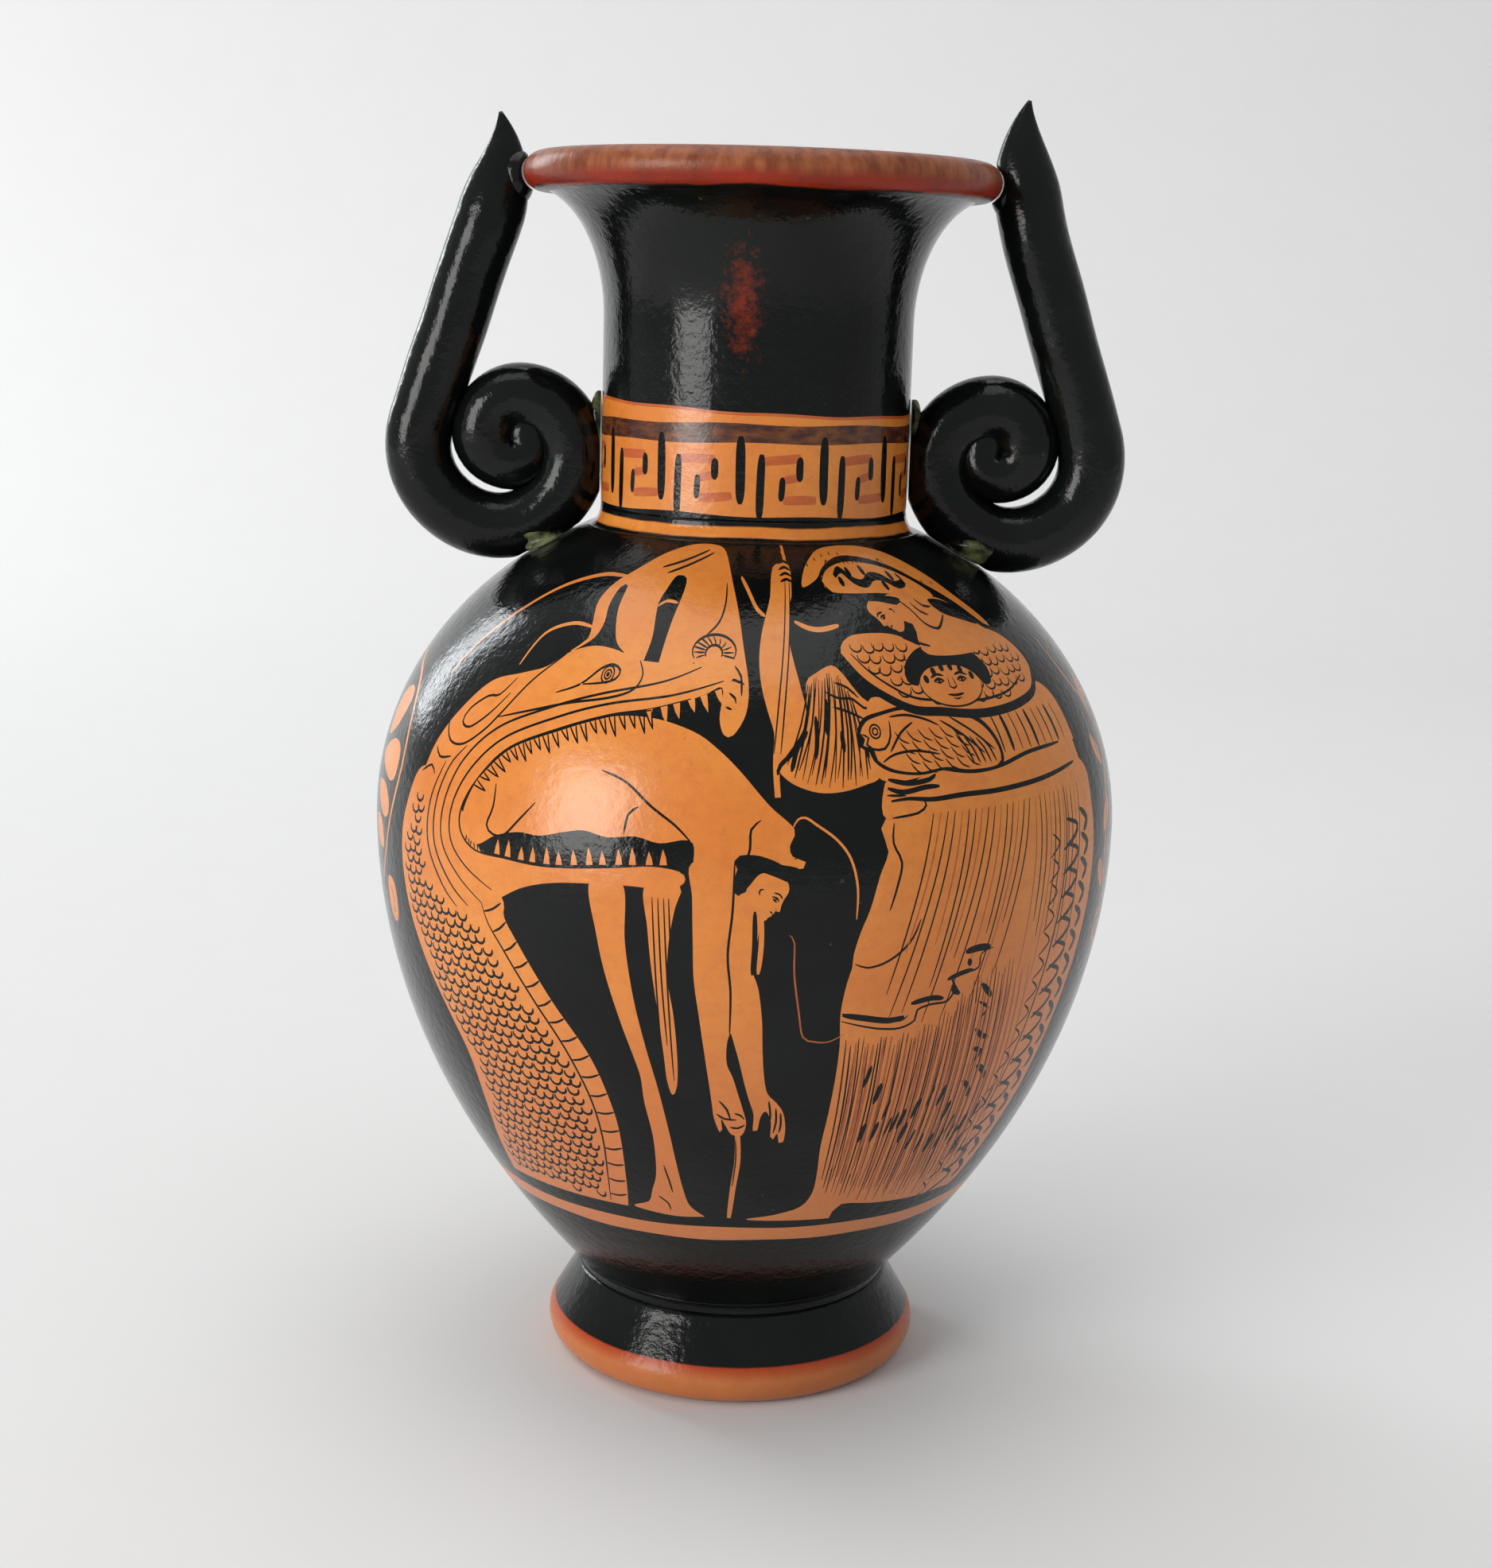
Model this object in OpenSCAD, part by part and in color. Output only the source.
// Small neck amphora with horned volute handles.
// Thrown foot, body, neck and lip, two rolled handle coils, and the luting
// clay that bonds them. Millimetres, +Z up, origin on the ground under the
// middle of the foot. The painted front faces -Y, the handles lie along X.

/* [Body] */
// Largest outer radius of the body
body_r = 73; // [62:1:86]
// Height of the widest point above the top of the foot
belly_rise = 95; // [80:1:112]
// Height of the body above the top of the foot
body_h = 151.5; // [140:0.5:180]
// Outer radius of the body where it sits on the foot
waist_r = 30; // [25:0.5:36]
// Lean of the lowest part of the body, from upright
waist_lean = 43; // [30:1:55]
// Width of the body's top edge outside the neck
seat_ledge = 2.7; // [1.5:0.1:4]
// Thickness of the body wall
body_wall = 5; // [3:0.5:7]
// Thickness of the body's floor
floor_t = 6; // [4:0.5:9]

/* [Foot] */
// Height of the foot
foot_h = 17; // [13:0.5:24]
// Largest outer radius of the foot
foot_r = 37.8; // [33:0.1:46]
// Height of the rounded foot edge
foot_edge_h = 10; // [7:0.5:12]
// Width of the ridge that the foot leaves around the body's waist
foot_ridge_w = 2; // [1.5:0.1:4]
// Thickness of the foot's wall
foot_wall = 9; // [6:0.5:11]

/* [Neck] */
// Outer radius of the neck
neck_r = 29.8; // [25:0.1:36]
// Height of the neck up to the lip
neck_h = 62.5; // [54:0.5:75]
// Height of the flare at the top of the neck
flare_h = 23; // [16:0.5:28]
// How far the flare spreads
flare_out = 10.6; // [7:0.1:14]
// Thickness of the neck wall
neck_wall = 4.5; // [3:0.5:6]

/* [Lip] */
// Height of the lip
lip_h = 7.4; // [5:0.1:10]
// Overhang of the lip's lower edge past the neck's flare
lip_step = 1.2; // [0.5:0.1:2.5]
// Bulge of the lip past its lower edge
lip_bulge = 3.8; // [2:0.1:5]
// Width of the lip's flat top
lip_flat = 3.5; // [2:0.1:5]

/* [Handles] */
// Radius of the rolled handle coil
coil_r = 6.6; // [5:0.1:7.2]
// Radius of the coil where it turns up beside the neck
coil_neck_r = 5.2; // [4.5:0.1:5.6]
// Radius of the coil at the inner end of the volute
coil_end_r = 3.1; // [2.4:0.1:3.6]
// Extra room between the top of the stem and the lip, for the joining clay
stem_out = 0.4; // [0:0.1:2]
// Height of the left horn's tip above the lip
horn_rise_left = 7.3; // [7:0.1:16]
// Height of the right horn's tip above the lip
horn_rise_right = 12.1; // [7:0.1:16]
// Centreline radius of the turn at the bottom of the stem
turn_r = 15.6; // [14.5:0.1:17]
// Centreline radius of the turn beside the neck
neck_turn_r = 14.6; // [13.5:0.1:16]
// Height of the bottom turn above its lowest place on the shoulder
turn_lift = 2.4; // [1:0.1:4]
// Free space between the stem and the volute
volute_gap = 1.6; // [1.4:0.1:3]
// How far outside the lip's edge the horns' tips stand
horn_out = 4.6; // [3:0.1:6]
// How far the horns bend in over the lip below their tips
horn_hook = 2.2; // [0:0.1:5]

/* [Fits] */
// Clearance between a handle and the wall that it leans on
handle_gap = 0.3; // [0.2:0.05:0.6]
// Clearance around a luting pad
clay_gap = 0.1; // [0.05:0.05:0.3]
// Height of the luting fillet above the neck's seat
neck_fillet_h = 4; // [2:0.5:6]
// Width of the luting fillet on the foot's ridge
foot_fillet_w = 1.6; // [1:0.1:1.8]

/* [Hidden] */
$fn = 96;

// Colours of the glossy slip, the red lip and the luting
slip = "#16181a";
red_slip = "#7a2f1c";
luting = "#3a3d2c";

// Heights of the joints between the thrown pieces
belly_z = foot_h + belly_rise;
seat_z = foot_h + body_h;
lip_z = seat_z + neck_h;
top_z = lip_z + lip_h;
lip_low_r = neck_r + flare_out + lip_step;
lip_r = lip_low_r + lip_bulge;
seat_r = neck_r + seat_ledge;
bore_r = neck_r - neck_wall;
foot_ridge_r = waist_r + foot_ridge_w;

// Steps along one curve of a thrown profile
steps = 16;

// Point at t on a cubic curve with four control points
function cubic(p, t) =
    pow(1 - t, 3) * p[0] + 3 * pow(1 - t, 2) * t * p[1]
    + 3 * (1 - t) * t * t * p[2] + pow(t, 3) * p[3];

// Lower body: from the foot, out at the waist's lean, upright at the belly
function lower_curve(inset, base_z) = [
    [waist_r - inset, base_z],
    [waist_r - inset + 18 * sin(waist_lean), base_z + 18 * cos(waist_lean)],
    [body_r - inset, belly_z - 48],
    [body_r - inset, belly_z]
];

// Upper body: a quarter ellipse cut off at the neck's seat
shoulder_rise = (seat_z - belly_z) / sqrt(1 - pow(seat_r / body_r, 2));
function shoulder_z(r) = belly_z + shoulder_rise * sqrt(1 - pow(r / body_r, 2));
seat_angle = acos(seat_r / body_r);
function shoulder_point(a, out = 0) =
    [(body_r + out) * cos(a), belly_z + (shoulder_rise + out) * sin(a)];

body_outline = concat(
    [for (i = [0:steps]) cubic(lower_curve(0, foot_h), i / steps)],
    [for (i = [1:steps]) shoulder_point(seat_angle * i / steps)]
);

// The inner wall ends where it meets the neck's bore
inner_r = body_r - body_wall;
inner_angle = acos(bore_r / inner_r);
inner_rise = (seat_z - belly_z) / sin(inner_angle);
body_cavity = concat(
    [for (i = [0:steps]) cubic(lower_curve(body_wall, foot_h + floor_t), i / steps)],
    [for (i = [1:steps])
        let (a = inner_angle * i / steps)
        [inner_r * cos(a), belly_z + inner_rise * sin(a)]]
);

// Thrown ovoid body, closed at the bottom by its own floor
module body() {
    color(slip)
    rotate_extrude()
    polygon(concat(
        [[0, foot_h]],
        body_outline,
        [for (i = [len(body_cavity) - 1:-1:0]) body_cavity[i]],
        [[0, foot_h + floor_t]]
    ));
}

// Foot: rounded edge below, a sloping band up to the ridge, hollow underneath
foot_edge_r = foot_edge_h / 2;
foot_hollow_r = foot_r - foot_wall;
foot_seat_r = waist_r - body_wall;
module foot() {
    color(slip)
    rotate_extrude()
    polygon(concat(
        [for (i = [0:steps])
            [foot_r - foot_edge_r + foot_edge_r * cos(-90 + 115 * i / steps),
             foot_edge_r + foot_edge_r * sin(-90 + 115 * i / steps)]],
        [[foot_ridge_r, foot_h - 0.8], [foot_ridge_r - 0.4, foot_h]],
        [[foot_seat_r, foot_h], [foot_seat_r, foot_h - 3], [foot_hollow_r, 1], [foot_hollow_r + 1, 0]]
    ));
}

// Point at angle a on a flare, a part of an ellipse that starts upright
flare_turn = 75;
function flare_point(a, r0, z1, h) =
    [r0 + flare_out * (1 - cos(a)) / (1 - cos(flare_turn)),
     z1 - h + h * sin(a) / sin(flare_turn)];

// Neck: upright, then flaring to the lip
module neck() {
    color(slip)
    rotate_extrude()
    polygon(concat(
        [[bore_r, seat_z], [neck_r, seat_z]],
        [for (i = [0:steps]) flare_point(flare_turn * i / steps, neck_r, lip_z, flare_h)],
        [for (i = [steps:-1:0]) flare_point(flare_turn * i / steps, bore_r, lip_z, flare_h - 2)]
    ));
}

// Lip: a rounded roll that overhangs the flare
lip_in_r = bore_r + flare_out;
lip_edge_h = lip_h / 2;
lip_mid_z = lip_z + lip_edge_h;
function lip_point(a, out = 0) =
    [lip_low_r + (lip_bulge + out) * cos(a), lip_mid_z + (lip_edge_h + out) * sin(a)];
module lip() {
    color(red_slip)
    rotate_extrude()
    polygon(concat(
        [for (i = [0:steps]) lip_point(-90 + 180 * i / steps)],
        [[lip_low_r - lip_flat, top_z], [lip_in_r, lip_z + 1.5], [lip_in_r, lip_z]]
    ));
}

// Luting fillet between foot and body: a concave ring in the angle over the ridge
module foot_luting_ring() {
    top = body_outline[1];
    foot_fillet = [waist_r + foot_fillet_w, foot_h];
    color(luting)
    rotate_extrude()
    polygon([[waist_r, foot_h], foot_fillet, (foot_fillet + top) / 2 - [0.4, 0], top]);
}

// Luting fillet between neck and body: a concave ring on the body's top edge
module neck_luting_ring() {
    w = seat_r - neck_r;
    n = 8;
    color(slip)
    rotate_extrude()
    polygon(concat(
        [[neck_r, seat_z]],
        [for (i = [0:n]) [seat_r - w * sin(90 * i / n), seat_z + neck_fillet_h * (1 - cos(90 * i / n))]]
    ));
}

// Handle coil, drawn for the +X side as a path in the XZ plane.
// Horn tip, straight stem, then turns that wind inwards to a rounded end.
turn_x = neck_r + handle_gap + coil_neck_r + neck_turn_r;
turn_c = [turn_x, shoulder_z(turn_x) + handle_gap + coil_r + turn_r + turn_lift];
// The stem runs straight from beside the lip to its tangent point on the bottom turn
stem_top = [lip_r + handle_gap + coil_r + stem_out, lip_z];
stem_reach = stem_top - turn_c;
stem_lean = atan2(stem_reach[1], stem_reach[0]) - acos(turn_r / norm(stem_reach));
stem_low = turn_c + turn_r * [cos(stem_lean), sin(stem_lean)];
stem_n = 10;
stem_points = [for (i = [0:stem_n]) stem_top + (stem_low - stem_top) * i / stem_n];

// Each turn: radius, start angle and end angle; turns join tangent to each other
coil_side_r = coil_r - 1.6;
volute_w = turn_r + neck_turn_r - coil_r - coil_side_r - volute_gap;
turns = [
    [turn_r, stem_lean, -90],
    [neck_turn_r, -90, -180],
    [0.65 * volute_w, 180, 90],
    [0.35 * volute_w, 90, 0],
    [0.4 * volute_w, 0, -90]
];
function turn_at(c, r, a) = c + r * [cos(a), sin(a)];
function turn_centre(k) = k == 0 ? turn_c
    : let (
        before = turns[k - 1],
        c = turn_centre(k - 1),
        a = before[2]
    ) c + (before[0] - turns[k][0]) * [cos(a), sin(a)];
turn_steps = [14, 9, 9, 7, 7];
turn_points = [for (k = [0:len(turns) - 1])
    let (c = turn_centre(k), t = turns[k], n = turn_steps[k])
    for (i = [1:n]) turn_at(c, t[0], t[1] + (t[2] - t[1]) * i / n)];

// Coil radius along the turns, from the stem's to the inner end's
turn_radii = [coil_r, coil_neck_r, coil_r - 0.8, coil_side_r, coil_end_r];
function turn_radius(k, f) =
    let (from = k == 0 ? coil_r : turn_radii[k - 1])
    from + (turn_radii[k] - from) * (1 - cos(180 * f)) / 2;
turn_widths = [for (k = [0:len(turns) - 1]) for (i = [1:turn_steps[k]])
    turn_radius(k, i / turn_steps[k])];

// Rounded inner end of the coil
end_n = 3;
end_c = turn_points[len(turn_points) - 1];
end_points = [for (i = [1:end_n]) end_c - [coil_end_r * sin(80 * i / end_n), 0]];
end_widths = [for (i = [1:end_n]) coil_end_r * cos(80 * i / end_n)];

// Horn: the pinched end, from the stem up past the lip to its point
horn_n = 8;
horn_tip_r = 0.5;
horn_base_r = coil_r - 0.2;
horn_width_power = 0.7;
function horn_points(rise) =
    let (
        up = [-sin(stem_lean), cos(stem_lean)],
        tip = [lip_r + horn_out, top_z + rise],
        curve = [tip, tip - [horn_hook, 7], stem_top + up * 7, stem_top]
    ) [for (i = [0:horn_n - 1]) cubic(curve, i / horn_n)];
function horn_width(f) = horn_tip_r + (horn_base_r - horn_tip_r) * pow(f, horn_width_power);

// Soft clay pressed against the vessel: no point goes inside the wall's offset
function press_neck(p) =
    let (r = norm([p[0], p[1]]), lim = neck_r + handle_gap)
    r < lim ? [p[0] * lim / r, p[1] * lim / r, p[2]] : p;
function press_shoulder(p) =
    let (
        r = norm([p[0], p[1]]),
        f = norm([r / (body_r + handle_gap), (p[2] - belly_z) / (shoulder_rise + handle_gap)])
    )
    f < 1 ? [p[0] / f, p[1] / f, belly_z + (p[2] - belly_z) / f] : p;
function press_lip(p) =
    let (
        r = norm([p[0], p[1]]),
        h = (p[2] - lip_mid_z) / (lip_edge_h + handle_gap),
        lim = abs(h) < 1 ? lip_low_r + (lip_bulge + handle_gap) * sqrt(1 - h * h) : 0
    )
    r < lim ? [p[0] * lim / r, p[1] * lim / r, p[2]] : p;

// Ring of points around place i of a path
sides = 16;
function along(path, i) =
    let (
        a = path[max(i - 1, 0)],
        b = path[min(i + 1, len(path) - 1)]
    ) (b - a) / norm(b - a);
function ring(path, widths, i) =
    let (d = along(path, i), n = [-d[1], d[0]], w = widths[i])
    [for (j = [0:sides - 1])
        let (
            a = 360 * j / sides,
            q = path[i] + n * w * cos(a)
        ) press_lip(press_shoulder(press_neck([q[0], w * sin(a), q[1]])))];
module coil(path, widths) {
    n = len(path);
    points = [for (i = [0:n - 1]) each ring(path, widths, i)];
    walls = [for (i = [0:n - 2]) for (j = [0:sides - 1])
        let (
            a = i * sides + j,
            b = i * sides + (j + 1) % sides
        ) each [[a, b, b + sides], [a, b + sides, a + sides]]];
    start = [for (j = [sides - 1:-1:0]) j];
    end = [for (j = [0:sides - 1]) (n - 1) * sides + j];
    polyhedron(concat(points), concat(walls, [start], [end]));
}
function handle_path(rise) = concat(horn_points(rise), stem_points, turn_points, end_points);
handle_widths = concat(
    [for (i = [0:horn_n - 1]) horn_width(i / horn_n)],
    [for (i = [0:stem_n]) coil_r],
    turn_widths,
    end_widths
);
module handle(rise) {
    color(slip) coil(handle_path(rise), handle_widths);
}
module handle_right() {
    handle(horn_rise_right);
}
module handle_left() {
    mirror([1, 0, 0]) handle(horn_rise_left);
}

// Luting pads: soft clay smeared into the angles between a coil and the vessel.
// Each is an egg-shaped dab cut back by the vessel and by a stretch of the coil.
module vessel_space() {
    g = clay_gap;
    rotate_extrude()
    polygon(concat(
        [[0, belly_z]],
        [for (i = [0:steps]) shoulder_point(seat_angle * i / steps, g)],
        [[neck_r + g, seat_z + neck_fillet_h]],
        [for (i = [0:steps]) flare_point(flare_turn * i / steps, neck_r + g, lip_z - g, flare_h)],
        [for (i = [0:steps]) lip_point(-90 + 180 * i / steps, g)],
        [[0, top_z + g]]
    ));
}
module dab(x, z, r, h) {
    translate([x, 0, z])
    rotate_extrude()
    polygon([for (i = [0:steps]) [r * sin(180 * i / steps), -h * cos(180 * i / steps)]]);
}
module pad(x, z, r, h, first, last, rise = horn_rise_left) {
    path = handle_path(rise);
    color(luting)
    difference() {
        dab(x, z, r, h);
        vessel_space();
        coil([for (i = [first:last]) path[i]], [for (i = [first:last]) handle_widths[i] + clay_gap]);
    }
}
// Places along the path where the stem, the first turn and the second turn start
stem_first = horn_n;
turn_first = stem_first + stem_n + 1;
neck_turn_first = turn_first + turn_steps[0];
module lip_pad(rise) {
    pad(lip_r, lip_mid_z - 1, 5.6, 6.5, 0, stem_first + 4, rise);
}
module neck_pad() {
    pad(neck_r + 0.8, turn_c[1] + 3, 4, 8, neck_turn_first, neck_turn_first + 20);
}
// The shoulder pad lies under the start of the turn beside the neck
shoulder_pad_x = turn_x - 9;
module shoulder_pad() {
    pad(shoulder_pad_x, shoulder_z(shoulder_pad_x) + 1, 7.2, 3.6, turn_first + 6, neck_turn_first + 10);
}
module lip_luting_right() {
    lip_pad(horn_rise_right);
}
module lip_luting_left() {
    mirror([1, 0, 0]) lip_pad(horn_rise_left);
}
module neck_luting_right() {
    neck_pad();
}
module neck_luting_left() {
    mirror([1, 0, 0]) neck_pad();
}
module shoulder_luting_right() {
    shoulder_pad();
}
module shoulder_luting_left() {
    mirror([1, 0, 0]) shoulder_pad();
}

foot();
body();
neck();
lip();
handle_left();
handle_right();
foot_luting_ring();
neck_luting_ring();
lip_luting_left();
lip_luting_right();
neck_luting_left();
neck_luting_right();
shoulder_luting_left();
shoulder_luting_right();
